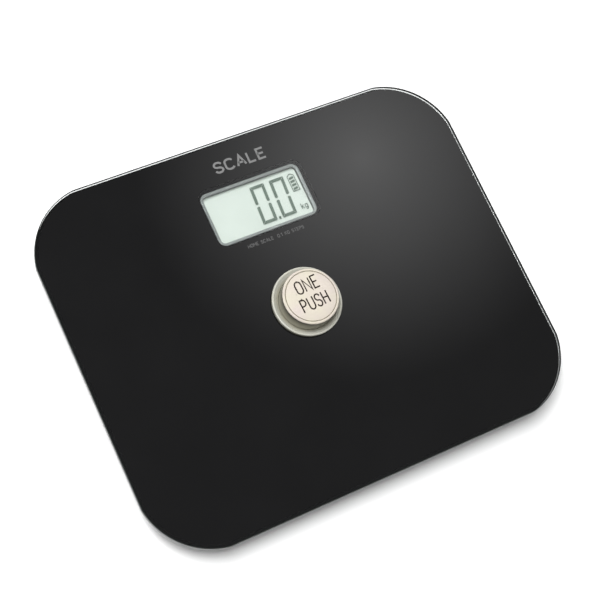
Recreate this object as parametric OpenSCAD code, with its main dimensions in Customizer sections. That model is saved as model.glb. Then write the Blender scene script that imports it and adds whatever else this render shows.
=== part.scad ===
// Digital bathroom scale: a glass platform with a window for the display and a tall
// sprung button in the middle. Pressing the button drives a small hand generator that
// charges the scale, so it holds no battery.
// X runs left to right, Y from the user's heels to the display, Z up from the floor.

/* [Glass platform] */
// Width of the glass
glass_w = 320; // [300:1:330]
// Depth of the glass, heels to toes
glass_d = 260; // [250:1:300]
// Thickness of the glass
glass_t = 5; // [4:0.5:6]
// Radius of the glass's corners
corner_r = 52; // [44:1:52]
// How far the corner arcs stand proud of the straight sides before they are ground flat
corner_lead = 0.6; // [0:0.1:1]
// Height of the walking surface above the floor
glass_top = 26; // [26:0.5:28]
// Clear margin between the glass's edge and the printed back
print_margin = 0.8; // [0.4:0.1:2]

/* [Display] */
// Sideways offset of the display from the middle
display_x = 0.6; // [-2:0.1:2]
// Distance of the display's middle from the button's middle
display_y = 77.3; // [74:0.1:84]
// Width of the window in the printed back
window_w = 76; // [70:0.5:80]
// Depth of the window in the printed back
window_d = 40; // [38:0.2:44]
// Width of the silver rim that shows in the window
rim_w = 2.1; // [1.5:0.1:3]
// Air space between the glass and the liquid crystal panel
lcd_drop = 3.5; // [3:0.1:5]

/* [Button] */
// Radius of the button's cap
cap_r = 19.7; // [19:0.1:20]
// Height of the cap's top above the glass
cap_rise = 14; // [13:0.5:16]
// Travel of the button
travel = 7; // [5:0.5:7]
// Radius of the bezel around the button
bezel_r = 24.6; // [24.2:0.1:26]
// Height of the bezel's rim above the glass
bezel_h = 3.4; // [2.6:0.1:4]
// Free gap between the cap and the bezel's bore
cap_gap = 0.3; // [0.2:0.05:0.4]

/* [Base] */
// How far the base tray stands in from the glass's edge
tray_inset = 14; // [10:1:20]
// Gap between the floor and the base tray
ground_gap = 5; // [4.5:0.1:5]
// Thickness of the tray's floor and walls
tray_t = 2.2; // [2:0.1:2.6]
// Radius of the tray's lower edge
tray_edge = 3; // [1:0.5:3]
// Distance of each foot's middle from the tray's two nearest sides
foot_inset = 36; // [36:1:44]

/* [Generator] */
// Play between meshing teeth at the pitch line
tooth_play = 0.1; // [0.06:0.01:0.14]
// Radius of the magnet that spins in the coil's yoke
magnet_r = 4; // [3.2:0.1:4]
// Turns of the button's return spring
spring_turns = 4.5; // [3.5:0.5:5]

/* [Hidden] */
$fn = 96;

// Heights of the platform's layers
glass_z = glass_top - glass_t;
film_t = 0.15;
film_z = glass_z - film_t;
tape_t = 0.45;
tray_top = film_z - tape_t;
tray_floor = ground_gap + tray_t;

// Base tray
tray_w = glass_w - 2 * tray_inset;
tray_d = glass_d - 2 * tray_inset;
tray_r = corner_r - tray_inset;
foot_x = tray_w / 2 - foot_inset;
foot_y = tray_d / 2 - foot_inset;
rim_ledge = 6;
rib_t = 1.6;
rib_top = tray_floor + 2.8;

// Display stack, from the glass downwards
lcd_z = glass_z - lcd_drop;
pane_t = 1.1;
lcd_w = window_w - 1.5;
lcd_d = window_d - 0.8;
lcd_ledge = 4;
reflector_t = 0.3;
board_t = 1.6;
board_z = tray_floor + 3.4;
board_top = board_z + board_t;
board_w = window_w + 16.5;
board_y0 = 33;
board_y1 = display_y + 23.3;
post_x = window_w / 2 + 3.85;
post_y = 17.5;
socket_y = [45, 53];
screw_r = 1.1;
part_row_y = 42;

// Button
cap_top = glass_top + cap_rise;
cap_wall = 1.6;
cap_roof = 2;
skirt_z = glass_top - 1.5;
lug_h = 2;
lug_w = 6;
lug_out = 1.1;
lug_angles = [90, 210, 330];
bore_r = cap_r + cap_gap;
sleeve_r = bore_r + 1.7;
sleeve_z = skirt_z - travel - 0.1;
glass_hole_r = sleeve_r + 0.3;
plunger_z = cap_top - 6;
plunger_t = 1.5;
boss_angles = [60, 180, 300];
boss_at = 11.4;
seat_z = tray_floor + 12.8;
spring_r = 15.7;
spring_wire = 1.2;

// Gear train: every axle lies along X
pressure = 20;
rack_teeth = 12;
wheel_teeth = 32;
pinion_teeth = 10;
step_teeth = 30;
m_rack = 0.6;
m_first = 0.5;
m_second = 0.4;
axle_r = 0.75;
axle_gap = 0.05;
rack_pitch_r = rack_teeth * m_rack / 2;
drive_y = 5;
drive_z = tray_floor + 9.8;
idler_z = tray_floor + 7.8;
rotor_z = tray_floor + 6.3;
first_reach = (wheel_teeth + pinion_teeth) * m_first / 2;
second_reach = (step_teeth + pinion_teeth) * m_second / 2;
idler_y = drive_y - sqrt(pow(first_reach, 2) - pow(drive_z - idler_z, 2));
rotor_y = idler_y - sqrt(pow(second_reach, 2) - pow(idler_z - rotor_z, 2));
first_angle = atan2(idler_z - drive_z, idler_y - drive_y);
second_angle = atan2(rotor_z - idler_z, rotor_y - idler_y);
rack_y = drive_y + rack_pitch_r;
rack_x = [-6, -1];
rack_back = rack_y + 3.6;
rack_z = tray_floor + travel + 0.5;
rack_cut_top = drive_z + travel + 3;
first_x = [0.3, 2.8];
second_x = [3.5, 5.5];
magnet_x = [-8, -0.6];
wall_a = [-10.5, -9];
wall_b = [6.5, 8];
pole_gap = 0.4;
arm_in = 4;
arm_out = 5.8;
yoke_back = [-24.4, -22.2];
yoke_z = [rotor_z - 2, rotor_z + 2];
coil_r = 4.1;
flange_r = 4.4;
base_t = 1.2;
base_x = [-28.5, 19];
base_y = [-25.5, 16.5];
base_top = tray_floor + base_t;
ear_x = [-25.6, 16.2];
ear_y = [-23, 13.6];
ear_z = tray_floor + 3;

// Feet
pad_t = 2.4;
pad_r = 14.8;
cup_r = 16.4;
cup_wall = 2;
cup_flange_r = 18.6;
cell_z = tray_floor + 2;
cell_t = 1.6;
cell_w = 26;
housing_r = 22;
cavity_r = 19.1;
cavity_top = tray_floor + 6;
housing_top = film_z - 0.4;
lug_at = 25.5;
lug_z = tray_floor + 1.8;
lug_t = 1.6;

// Unit switch under the board
switch_x = -30;
switch_y = 40;
knob_w = 4;
knob_d = 3;
knob_travel = 2;

// ---------------------------------------------------------------- shared shapes

// Plan outline with round corners
module rounded(w, d, r) {
    square([w - 2 * r, d], center = true);
    square([w, d - 2 * r], center = true);
    for (sx = [-1, 1], sy = [-1, 1])
        translate([sx * (w / 2 - r), sy * (d / 2 - r)]) circle(r);
}

// Flat plate with round corners, standing on height z
module plate(w, d, r, z, t) {
    translate([0, 0, z]) linear_extrude(t) rounded(w, d, r);
}

// Half of a turned profile or one side of an extruded one: a round lower edge, then a plain wall
function soft_side(half, e, h) = concat(arc(half - e, e, e, -90, 0, 8), [[half, h]]);

// Flat plate with round corners and a round lower edge
module soft_plate(w, d, r, e, z, h) {
    translate([0, 0, z]) {
        for (sx = [-1, 1], sy = [-1, 1]) translate([sx * (w / 2 - r), sy * (d / 2 - r), 0])
            rotate_extrude() polygon(concat([[0, 0]], soft_side(r, e, h), [[0, h]]));
        extrude_x([r - w / 2, w / 2 - r]) soft_band(d / 2, e, h);
        rotate(90) extrude_x([r - d / 2, d / 2 - r]) soft_band(w / 2, e, h);
    }
}

module soft_band(half, e, h) {
    side = soft_side(half, e, h);
    last = len(side) - 1;
    polygon(concat(side, [for (i = [last : -1 : 0]) [-side[i][0], side[i][1]]]));
}

// Block between two opposite corners
module block(low, high) {
    translate(low) cube(high - low);
}

// Upright cylinder from height z0 to height z1
module post(x, y, r, z0, z1) {
    translate([x, y, z0]) cylinder(r = r, h = z1 - z0);
}

// Cylinder along X from x0 to x1
module rod_x(y, z, r, x0, x1) {
    translate([x0, y, z]) rotate([0, 90, 0]) cylinder(r = r, h = x1 - x0);
}

// Turned ring
module ring(r_in, r_out, z0, z1) {
    rotate_extrude() translate([r_in, z0]) square([r_out - r_in, z1 - z0]);
}

// Outline in the Y-Z plane, extruded along X from x[0] to x[1]
module extrude_x(x) {
    translate([x[0], 0, 0]) rotate([90, 0, 90]) linear_extrude(x[1] - x[0]) children();
}

// Points of an arc, in turned-profile coordinates
function arc(cx, cz, r, a0, a1, n) =
    [for (i = [0 : n]) let (a = a0 + (a1 - a0) * i / n) [cx + r * cos(a), cz + r * sin(a)]];

// Pan-head screw with a cross recess, head up, its seat at height 0
module screw(len, r = screw_r) {
    head_h = 1.4;
    difference() {
        union() {
            cylinder(r = 2 * r, h = head_h);
            translate([0, 0, -len]) cylinder(r = r, h = len);
        }
        for (a = [0, 90])
            rotate(a) translate([-1.3 * r, -0.25 * r, head_h - 0.6]) cube([2.6 * r, 0.5 * r, 1]);
    }
}

// Whatever stands at each of the four feet
module at_feet() {
    for (sx = [-1, 1], sy = [-1, 1]) translate([sx * foot_x, sy * foot_y, 0]) children();
}

// Whatever stands at each of the four fixing lugs around a foot, the foot towards -X
module at_lugs() {
    for (i = [0 : 3]) rotate(90 * i + 45) translate([lug_at, 0, 0]) children();
}

// Flat strip of leads that lies along a route in plan
module ribbon(route, w, z, t) {
    translate([0, 0, z]) linear_extrude(t) union() {
        for (i = [0 : len(route) - 2]) {
            step = route[i + 1] - route[i];
            translate(route[i]) rotate(atan2(step[1], step[0])) translate([0, -w / 2])
                square([norm(step), w]);
        }
        for (i = [1 : len(route) - 2]) translate(route[i]) circle(w / 2);
    }
}

// ---------------------------------------------------------------- gear teeth

function inv(a) = tan(a) * 180 / PI - a;

// Half the angle that a tooth fills at radius r
function half_tooth(r, n, m) =
    let (rp = n * m / 2, rb = rp * cos(pressure))
    90 / n - tooth_play / 4 / rp * 180 / PI + inv(pressure) - (r > rb ? inv(acos(rb / r)) : 0);

// Radius and half angle at each point of one flank, root first
function flank(n, m) =
    let (rp = n * m / 2,
         root = rp - 1.25 * m,
         tip = rp + 0.9 * m,
         start = max(root + 0.1 * m, rp * cos(pressure)),
         steps = 3)
    concat([[root, half_tooth(start, n, m) * (n < 14 ? 0.75 : 1)]],
           [for (i = [0 : steps]) let (r = start + (tip - start) * i / steps)
               [r, half_tooth(r, n, m)]]);

// Outline of a spur gear that has a tooth centred on the angle first
function gear_outline(n, m, first) =
    let (f = flank(n, m), last = len(f) - 1)
    [for (i = [0 : n - 1])
        let (mid = first + 360 * i / n)
        each concat(
            [for (k = [0 : last]) f[k][0] * [cos(mid - f[k][1]), sin(mid - f[k][1])]],
            [for (k = [last : -1 : 0]) f[k][0] * [cos(mid + f[k][1]), sin(mid + f[k][1])]])];

// Spur gear on an axle along X, its teeth between x[0] and x[1]
module spur(n, m, y, z, x, first) {
    extrude_x(x) translate([y, z]) polygon(gear_outline(n, m, first));
}

// Outline of the rack: teeth towards -Y, a gap centred on height mid
function rack_outline(mid, z0, z1, back) =
    let (pitch = PI * m_rack,
         top = 0.9 * m_rack,
         foot = 1.25 * m_rack,
         low = ceil((z0 - mid) / pitch),
         high = floor((rack_cut_top - mid) / pitch),
         half = pitch / 4 - tooth_play / 4)
    concat(
        [[back, z0], [rack_y + foot, z0]],
        [for (i = [low : high])
            let (c = mid + (i + 0.5) * pitch)
            each [[rack_y + foot, c - half - foot * tan(pressure)],
                  [rack_y - top, c - half + top * tan(pressure)],
                  [rack_y - top, c + half - top * tan(pressure)],
                  [rack_y + foot, c + half + foot * tan(pressure)]]],
        [[rack_y + foot, z1], [back, z1]]);

// ---------------------------------------------------------------- platform

module glass_outline() {
    intersection() {
        square([glass_w, glass_d], center = true);
        rounded(glass_w + 2 * corner_lead, glass_d + 2 * corner_lead, corner_r);
    }
}

module glass_platform() {
    color([0.12, 0.13, 0.13, 0.6]) difference() {
        translate([0, 0, glass_z]) linear_extrude(glass_t) glass_outline();
        post(0, 0, glass_hole_r, glass_z - 1, glass_top + 1);
    }
}

// Black ink and its carrier on the back of the glass, open at the display and the button
module print_film() {
    color([0.03, 0.03, 0.03]) difference() {
        plate(glass_w - 2 * print_margin, glass_d - 2 * print_margin,
              corner_r - print_margin, film_z, film_t);
        translate([display_x, display_y, 0]) plate(window_w, window_d, 5.5, film_z - 1, 2);
        post(0, 0, glass_hole_r, film_z - 1, glass_z + 1);
    }
}

module display_bezel() {
    open_w = window_w - 2 * rim_w;
    open_d = window_d - 2 * rim_w;
    color([0.62, 0.63, 0.63]) translate([display_x, display_y, 0]) difference() {
        union() {
            plate(window_w + 3, window_d + 3, 6.5, board_top, film_z - board_top);
            plate(window_w + 10, window_d + 10, 8, film_z - 1.2, 1.2);
            for (sx = [-1, 1], sy = [-1, 1])
                post(sx * post_x, sy * post_y, 2.8, board_top, film_z - 1);
        }
        plate(open_w, open_d, 3, board_top - 1, film_z);
        plate(lcd_w + 0.5, lcd_d + 0.5, 1, board_top - 1, lcd_z - board_top + 1);
        for (sx = [-1, 1], sy = [-1, 1])
            post(sx * post_x, sy * post_y, screw_r + 0.02, board_top - 1, board_top + 5);
    }
}

module lcd_panel() {
    color([0.87, 0.91, 0.88]) translate([display_x, display_y, 0]) {
        plate(lcd_w, lcd_d, 0.8, lcd_z - pane_t, pane_t);
        translate([0, -lcd_ledge / 2, 0])
            plate(lcd_w, lcd_d - lcd_ledge, 0.8, lcd_z - 2 * pane_t, pane_t);
    }
}

module lcd_reflector() {
    color([0.8, 0.84, 0.8]) translate([display_x, display_y - lcd_ledge / 2, 0])
        plate(lcd_w - 2, lcd_d - lcd_ledge - 2, 0.5, lcd_z - 2 * pane_t - reflector_t, reflector_t);
}

// Conductive strip under the panel's ledge, and the plain strip that supports its other side
module zebra_strips() {
    strip_w = 2.2;
    under = lcd_z - 2 * pane_t - reflector_t;
    color([0.9, 0.55, 0.6]) translate([display_x, display_y, 0]) {
        block([-34, lcd_d / 2 - strip_w - 0.6, board_top], [34, lcd_d / 2 - 0.6, lcd_z - pane_t]);
        block([-34, 3 - lcd_d / 2, board_top], [34, 3 - lcd_d / 2 + strip_w, under]);
    }
}

// ---------------------------------------------------------------- electronics

module main_board() {
    mid = (board_y0 + board_y1) / 2;
    color([0.1, 0.4, 0.22]) difference() {
        translate([0, mid, 0]) plate(board_w, board_y1 - board_y0, 3, board_z, board_t);
        for (sx = [-1, 1], sy = [-1, 1])
            post(display_x + sx * post_x, display_y + sy * post_y, screw_r + 0.1,
                 board_z - 1, board_top + 1);
    }
}

// Round drop of resin that covers the processor, on the board's underside
module processor_blob() {
    blob_r = 6;
    blob_h = 1.6;
    ball = (pow(blob_r, 2) + pow(blob_h, 2)) / (2 * blob_h);
    color([0.05, 0.05, 0.05]) translate([0, display_y, board_z]) intersection() {
        translate([0, 0, ball - blob_h]) sphere(ball);
        translate([0, 0, -blob_h]) cylinder(r = blob_r + 1, h = blob_h);
    }
}

module converter_chip() {
    color([0.12, 0.12, 0.13]) translate([20, part_row_y, board_top]) {
        block([-5, -2, 0.2], [5, 2, 1.7]);
        for (i = [0 : 7], s = [-1, 1]) translate([-4.45 + 1.27 * i, 0, 0])
            block([-0.2, min(s * 2, s * 3.1), 0], [0.2, max(s * 2, s * 3.1), 0.45]);
    }
}

module storage_capacitor() {
    can_r = 4;
    color([0.16, 0.2, 0.42]) translate([0, part_row_y, board_top + can_r]) {
        rod_x(0, 0, can_r, -22, -7);
        rod_x(0, 0, can_r - 0.4, -7, -6.4);
        for (s = [-1, 1]) rod_x(s * 1.75, 0, 0.3, -6.4, -4.5);
        for (s = [-1, 1]) post(-4.5, s * 1.75, 0.3, -can_r, 0.3);
    }
}

// Four diodes in a row that turn the coil's current into a steady charge
module rectifier_diodes() {
    color([0.75, 0.3, 0.2]) for (i = [0 : 3])
        translate([30 + 3.2 * i, 0, 0]) {
            translate([0, part_row_y + 2, board_top + 0.8]) rotate([90, 0, 0])
                cylinder(r = 0.8, h = 4);
        }
}

// Sockets on the underside, one for each foot's leads and one for the coil's
module board_connectors() {
    socket_x = board_w / 2 - 4;
    color([0.92, 0.9, 0.84]) {
        for (s = [-1, 1], y = socket_y) difference() {
            block([s * socket_x - 3.5, y - 3, tray_floor + 0.2], [s * socket_x + 3.5, y + 3, board_z]);
            block([s * (socket_x + 2.5) - 1.2, y - 2, tray_floor - 1],
                  [s * (socket_x + 2.5) + 1.2, y + 2, tray_floor + 1.6]);
        }
        difference() {
            block([-3, 33.5, tray_floor + 0.2], [3, 38.5, board_z]);
            block([-1.6, 33, tray_floor - 1], [1.6, 36, tray_floor + 1.6]);
        }
    }
}

module board_screws() {
    color([0.75, 0.75, 0.76]) for (sx = [-1, 1], sy = [-1, 1])
        translate([display_x + sx * post_x, display_y + sy * post_y, board_z])
            mirror([0, 0, 1]) screw(board_t + 4.5);
}

module switch_body() {
    color([0.2, 0.2, 0.21]) difference() {
        block([switch_x - 6.5, switch_y - 3.5, tray_floor + 0.4], [switch_x + 6.5, switch_y + 3.5, board_z]);
        block([switch_x - knob_w / 2 - knob_travel - 0.3, switch_y - knob_d / 2 - 0.3, tray_floor - 1],
              [switch_x + knob_w / 2 + knob_travel + 0.3, switch_y + knob_d / 2 + 0.3, tray_floor + 2.4]);
    }
}

module switch_knob() {
    color([0.9, 0.9, 0.88]) difference() {
        block([switch_x - knob_w / 2, switch_y - knob_d / 2, ground_gap + 0.4],
              [switch_x + knob_w / 2, switch_y + knob_d / 2, tray_floor + 2.1]);
        for (i = [-1 : 1])
            block([switch_x + i * 1.1 - 0.25, switch_y - knob_d, ground_gap],
                  [switch_x + i * 1.1 + 0.25, switch_y + knob_d, ground_gap + 0.8]);
    }
}

// ---------------------------------------------------------------- button

// Bezel: a dished flange on the glass, and a sleeve through the hole in it that guides the cap
module button_bezel() {
    lip_z = glass_top + 1.2;
    edge = 1;
    crest = glass_top + bezel_h;
    dish_r = bezel_r - 1.3;
    slot_top = skirt_z + lug_h + 0.1;
    dish = [for (i = [0 : 6]) let (t = i / 6)
        [dish_r + (bore_r - dish_r) * t, crest + (lip_z - crest) * sin(90 * t)]];
    color([0.84, 0.83, 0.79]) difference() {
        rotate_extrude() polygon(concat(
            [[bore_r, sleeve_z], [sleeve_r, sleeve_z], [sleeve_r, glass_top],
             [22.5, glass_top], [22.5, glass_top + 0.6], [23.7, glass_top + 0.6],
             [23.7, glass_top], [bezel_r - 0.3, glass_top]],
            arc(bezel_r - edge, crest - edge, edge, 0, 90, 6),
            dish));
        for (a = lug_angles) rotate(a)
            block([bore_r - 1, -lug_w / 2 - 0.3, sleeve_z - 1], [bore_r + 1.1, lug_w / 2 + 0.3, slot_top]);
    }
}

module bezel_gasket() {
    color([0.1, 0.1, 0.1]) ring(22.6, 23.6, glass_top, glass_top + 0.6);
}

module bezel_nut() {
    nut_r = 27;
    nut_z = film_z - 2.6;
    color([0.3, 0.3, 0.31]) difference() {
        ring(sleeve_r + 0.02, nut_r, nut_z, film_z);
        for (i = [0 : 11]) rotate(30 * i)
            block([nut_r - 1.2, -1.5, nut_z - 1], [nut_r + 1, 1.5, nut_z + 1.6]);
    }
}

// Cap: a hollow cup, mouth down, with three lugs that run in the sleeve's slots
module button_cap() {
    round_r = 1;
    line_r = 17.8;
    inner_r = cap_r - cap_wall;
    roof_z = cap_top - cap_roof;
    color([0.91, 0.88, 0.84]) difference() {
        union() {
            rotate_extrude() polygon(concat(
                [[0, roof_z], [inner_r, roof_z], [inner_r, skirt_z], [cap_r, skirt_z]],
                arc(cap_r - round_r, cap_top - round_r, round_r, 0, 90, 6),
                [[line_r + 0.15, cap_top], [line_r + 0.15, cap_top - 0.2],
                 [line_r - 0.15, cap_top - 0.2], [line_r - 0.15, cap_top], [0, cap_top]]));
            for (a = lug_angles) rotate(a) intersection() {
                block([cap_r - 0.6, -lug_w / 2, skirt_z], [cap_r + lug_out, lug_w / 2, skirt_z + lug_h]);
                post(0, 0, bore_r + 0.6, skirt_z - 1, skirt_z + lug_h + 1);
            }
            for (a = boss_angles) rotate(a)
                post(boss_at, 0, 2.6, plunger_z + plunger_t, roof_z + 0.5);
        }
        for (a = boss_angles) rotate(a)
            post(boss_at, 0, 0.82, plunger_z, cap_top - 1.2);
    }
}

// Plunger: a disc that closes the cap, with the rack that drives the generator
module button_plunger() {
    disc_r = cap_r - cap_wall - 0.5;
    color([0.93, 0.93, 0.92]) {
        difference() {
            union() {
                post(0, 0, disc_r, plunger_z, plunger_z + plunger_t);
                ring(13.2, 14.7, plunger_z - 1.2, plunger_z + 0.2);
            }
            for (a = boss_angles) rotate(a)
                post(boss_at, 0, 0.9, plunger_z - 2, plunger_z + plunger_t + 1);
        }
        extrude_x(rack_x) polygon(rack_outline(drive_z, rack_z, plunger_z + 0.2, rack_back));
    }
}

module plunger_screws() {
    color([0.75, 0.75, 0.76]) for (a = boss_angles) rotate(a)
        translate([boss_at, 0, plunger_z]) mirror([0, 0, 1]) screw(4.6, 0.8);
}

// Compression spring, swept along a helix
module return_spring() {
    sides = 8;
    per_turn = 20;
    rings = floor(spring_turns * per_turn);
    low = seat_z + spring_wire / 2;
    high = plunger_z - spring_wire / 2;
    pts = [for (i = [0 : rings], k = [0 : sides - 1])
        let (a = 360 * i / per_turn,
             b = 360 * k / sides,
             r = spring_r + spring_wire / 2 * cos(b))
        [r * cos(a), r * sin(a), low + (high - low) * i / rings + spring_wire / 2 * sin(b)]];
    walls = [for (i = [0 : rings - 1], k = [0 : sides - 1])
        let (n = (k + 1) % sides)
        [i * sides + k, i * sides + n, (i + 1) * sides + n, (i + 1) * sides + k]];
    ends = [[for (k = [sides - 1 : -1 : 0]) k], [for (k = [0 : sides - 1]) rings * sides + k]];
    color([0.7, 0.71, 0.73]) mirror([0, 1, 0]) polyhedron(pts, concat(walls, ends));
}

// ---------------------------------------------------------------- generator

// Side wall that carries the axles, in the Y-Z plane
module bearing_wall(x) {
    difference() {
        translate([0, 0, tray_floor]) extrude_x(x)
            polygon([[-17, 0], [-17, 9], [-9, 10], [1, 12.4], [9, 12.4], [10, 0]]);
        for (c = [[drive_y, drive_z], [idler_y, idler_z], [rotor_y, rotor_z]])
            rod_x(c[0], c[1], axle_r + axle_gap, x[0] - 1, x[1] + 1);
    }
}

module generator_base() {
    ears = [for (x = ear_x, y = ear_y) [x, y]];
    guide_y = rack_back + 0.2;
    slot_gap = 0.1;
    color([0.85, 0.85, 0.83]) difference() {
        union() {
            difference() {
                block([base_x[0], base_y[0], tray_floor], [base_x[1], base_y[1], base_top]);
                for (e = ears) post(e[0], e[1], 3.1, tray_floor - 1, base_top + 1);
            }
            for (e = ears) difference() {
                post(e[0], e[1], 4, tray_floor, ear_z + base_t);
                post(e[0], e[1], 2.8, tray_floor - 1, ear_z);
            }
            bearing_wall(wall_a);
            bearing_wall(wall_b);
            block([rack_x[0] - 0.5, guide_y, tray_floor],
                  [rack_x[1] + 0.5, guide_y + 1.5, tray_floor + 11]);
            block([yoke_back[0], rotor_y - 3, tray_floor], [yoke_back[1], rotor_y + 3, tray_floor + 1.6]);
        }
        for (e = ears) post(e[0], e[1], screw_r + 0.1, tray_floor - 1, ear_z + 3);
        block([rack_x[0] - 0.4, rack_y - 1.2, tray_floor - 1], [rack_x[1] + 0.4, guide_y, base_top + 1]);
        for (s = [-1, 1]) {
            mid = rotor_y + s * (arm_in + arm_out) / 2;
            half = (arm_out - arm_in) / 2 + slot_gap;
            block([wall_a[0] - 1, mid - half, yoke_z[0] - slot_gap], [wall_a[1] + 1, mid + half, seat_z]);
        }
    }
}

// Raised ring on three legs that the return spring stands on
module spring_seat() {
    seat_in = 14.2;
    seat_out = 17.2;
    color([0.85, 0.85, 0.83]) {
        ring(seat_in, seat_out, seat_z - 1.4, seat_z);
        for (a = [20, 160, 315]) rotate(a)
            block([seat_in + 0.3, -2, base_top], [seat_out - 0.3, 2, seat_z - 1.2]);
    }
}

// Soft-iron yoke: two poles beside the magnet, joined by the leg that carries the coil
module stator_yoke() {
    color([0.5, 0.51, 0.53]) difference() {
        translate([0, rotor_y, yoke_z[0]]) linear_extrude(yoke_z[1] - yoke_z[0]) union() {
            for (s = [-1, 1]) translate([yoke_back[0], s > 0 ? arm_in : -arm_out])
                square([magnet_x[1] - yoke_back[0], arm_out - arm_in]);
            translate([yoke_back[0], -arm_out]) square([yoke_back[1] - yoke_back[0], 2 * arm_out]);
        }
        rod_x(rotor_y, rotor_z, magnet_r + pole_gap, magnet_x[0] - 0.5, magnet_x[1] + 1);
    }
}

// Coil former on the yoke's leg; its axis lies along Y
module coil_bobbin() {
    leg_x = (yoke_back[0] + yoke_back[1]) / 2;
    core_r = 2.7;
    color([0.15, 0.15, 0.15]) difference() {
        translate([leg_x, rotor_y - arm_in + 0.1, rotor_z]) rotate([-90, 0, 0]) {
            cylinder(r = core_r, h = 2 * arm_in - 0.2);
            cylinder(r = flange_r, h = 0.7);
            translate([0, 0, 2 * arm_in - 0.9]) cylinder(r = flange_r, h = 0.7);
        }
        block([yoke_back[0], rotor_y - arm_out, yoke_z[0]], [yoke_back[1], rotor_y + arm_out, yoke_z[1]]);
    }
}

module coil_winding() {
    leg_x = (yoke_back[0] + yoke_back[1]) / 2;
    core_r = 2.7;
    color([0.72, 0.4, 0.2]) translate([leg_x, rotor_y - arm_in + 0.8, rotor_z])
        rotate([-90, 0, 0]) ring(core_r, coil_r, 0, 2 * arm_in - 1.6);
}

module drive_gear() {
    color([0.93, 0.93, 0.9]) difference() {
        union() {
            spur(rack_teeth, m_rack, drive_y, drive_z, [rack_x[0] - 0.5, first_x[0]], 0);
            spur(wheel_teeth, m_first, drive_y, drive_z, first_x, first_angle);
        }
        rod_x(drive_y, drive_z, axle_r, rack_x[0] - 1, first_x[1] + 1);
    }
}

module idler_gear() {
    color([0.93, 0.93, 0.9]) difference() {
        union() {
            spur(pinion_teeth, m_first, idler_y, idler_z, [first_x[0], second_x[0]],
                 first_angle + 180 + 180 / pinion_teeth);
            spur(step_teeth, m_second, idler_y, idler_z, second_x, second_angle);
        }
        rod_x(idler_y, idler_z, axle_r, first_x[0] - 1, second_x[1] + 1);
    }
}

module rotor_pinion() {
    color([0.8, 0.66, 0.3]) difference() {
        spur(pinion_teeth, m_second, rotor_y, rotor_z, second_x,
             second_angle + 180 + 180 / pinion_teeth);
        rod_x(rotor_y, rotor_z, axle_r, second_x[0] - 1, second_x[1] + 1);
    }
}

module rotor_magnet() {
    color([0.3, 0.31, 0.33]) difference() {
        rod_x(rotor_y, rotor_z, magnet_r, magnet_x[0], magnet_x[1]);
        rod_x(rotor_y, rotor_z, axle_r, magnet_x[0] - 1, magnet_x[1] + 1);
    }
}

module axle(y, z) {
    color([0.78, 0.79, 0.8]) rod_x(y, z, axle_r, wall_a[0] + 0.2, wall_b[1] - 0.2);
}

module drive_axle() { axle(drive_y, drive_z); }
module idler_axle() { axle(idler_y, idler_z); }
module rotor_shaft() { axle(rotor_y, rotor_z); }

module generator_screws() {
    color([0.75, 0.75, 0.76]) for (x = ear_x, y = ear_y)
        translate([x, y, ear_z + base_t]) screw(5);
}

// ---------------------------------------------------------------- base

module base_tray() {
    inner_w = tray_w - 2 * tray_t;
    inner_d = tray_d - 2 * tray_t;
    sunk = 0.5;
    color([0.16, 0.16, 0.17]) difference() {
        union() {
            difference() {
                soft_plate(tray_w, tray_d, tray_r, tray_edge, ground_gap, tray_top - ground_gap);
                plate(inner_w, inner_d, tray_r - tray_t, tray_floor, tray_top);
            }
            difference() {
                plate(tray_w, tray_d, tray_r, tray_top - tray_t, tray_t);
                plate(tray_w - 2 * rim_ledge, tray_d - 2 * rim_ledge, tray_r - rim_ledge,
                      tray_floor, tray_top);
            }
            for (s = [-1, 1]) {
                block([min(s * 76, s * (inner_w / 2 + sunk)), -rib_t / 2, tray_floor - sunk],
                      [max(s * 76, s * (inner_w / 2 + sunk)), rib_t / 2, rib_top]);
                block([s * 30 - rib_t / 2, -inner_d / 2 - sunk, tray_floor - sunk],
                      [s * 30 + rib_t / 2, -34, rib_top]);
            }
            for (x = ear_x, y = ear_y) post(x, y, 2.6, tray_floor - sunk, ear_z);
            at_feet() at_lugs() post(0, 0, 2.4, tray_floor - sunk, lug_z);
        }
        for (x = ear_x, y = ear_y) post(x, y, screw_r + 0.02, ground_gap + 0.8, ear_z + 1);
        at_feet() {
            post(0, 0, cup_r + 0.5, ground_gap - 1, tray_floor + 1);
            at_lugs() post(0, 0, screw_r + 0.02, ground_gap + 0.8, lug_z + 1);
        }
        block([switch_x - 6.2, switch_y - 3.2, ground_gap - 1],
              [switch_x + 6.2, switch_y + 3.2, tray_floor + 1]);
    }
}

// Foam tape between the tray's rim and the back of the glass
module tray_tape() {
    color([0.85, 0.85, 0.84]) difference() {
        plate(tray_w - 0.6, tray_d - 0.6, tray_r - 0.3, tray_top, tape_t);
        plate(tray_w - 2 * rim_ledge + 0.6, tray_d - 2 * rim_ledge + 0.6, tray_r - rim_ledge + 0.3,
              tray_top - 1, tape_t + 2);
    }
}

module rating_label() {
    color([0.8, 0.8, 0.78]) translate([0, -60, 0]) plate(64, 30, 2, ground_gap - 0.15, 0.15);
}

module glass_pads() {
    color([0.85, 0.85, 0.84]) at_feet() post(0, 0, 17, housing_top, film_z);
}

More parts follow.
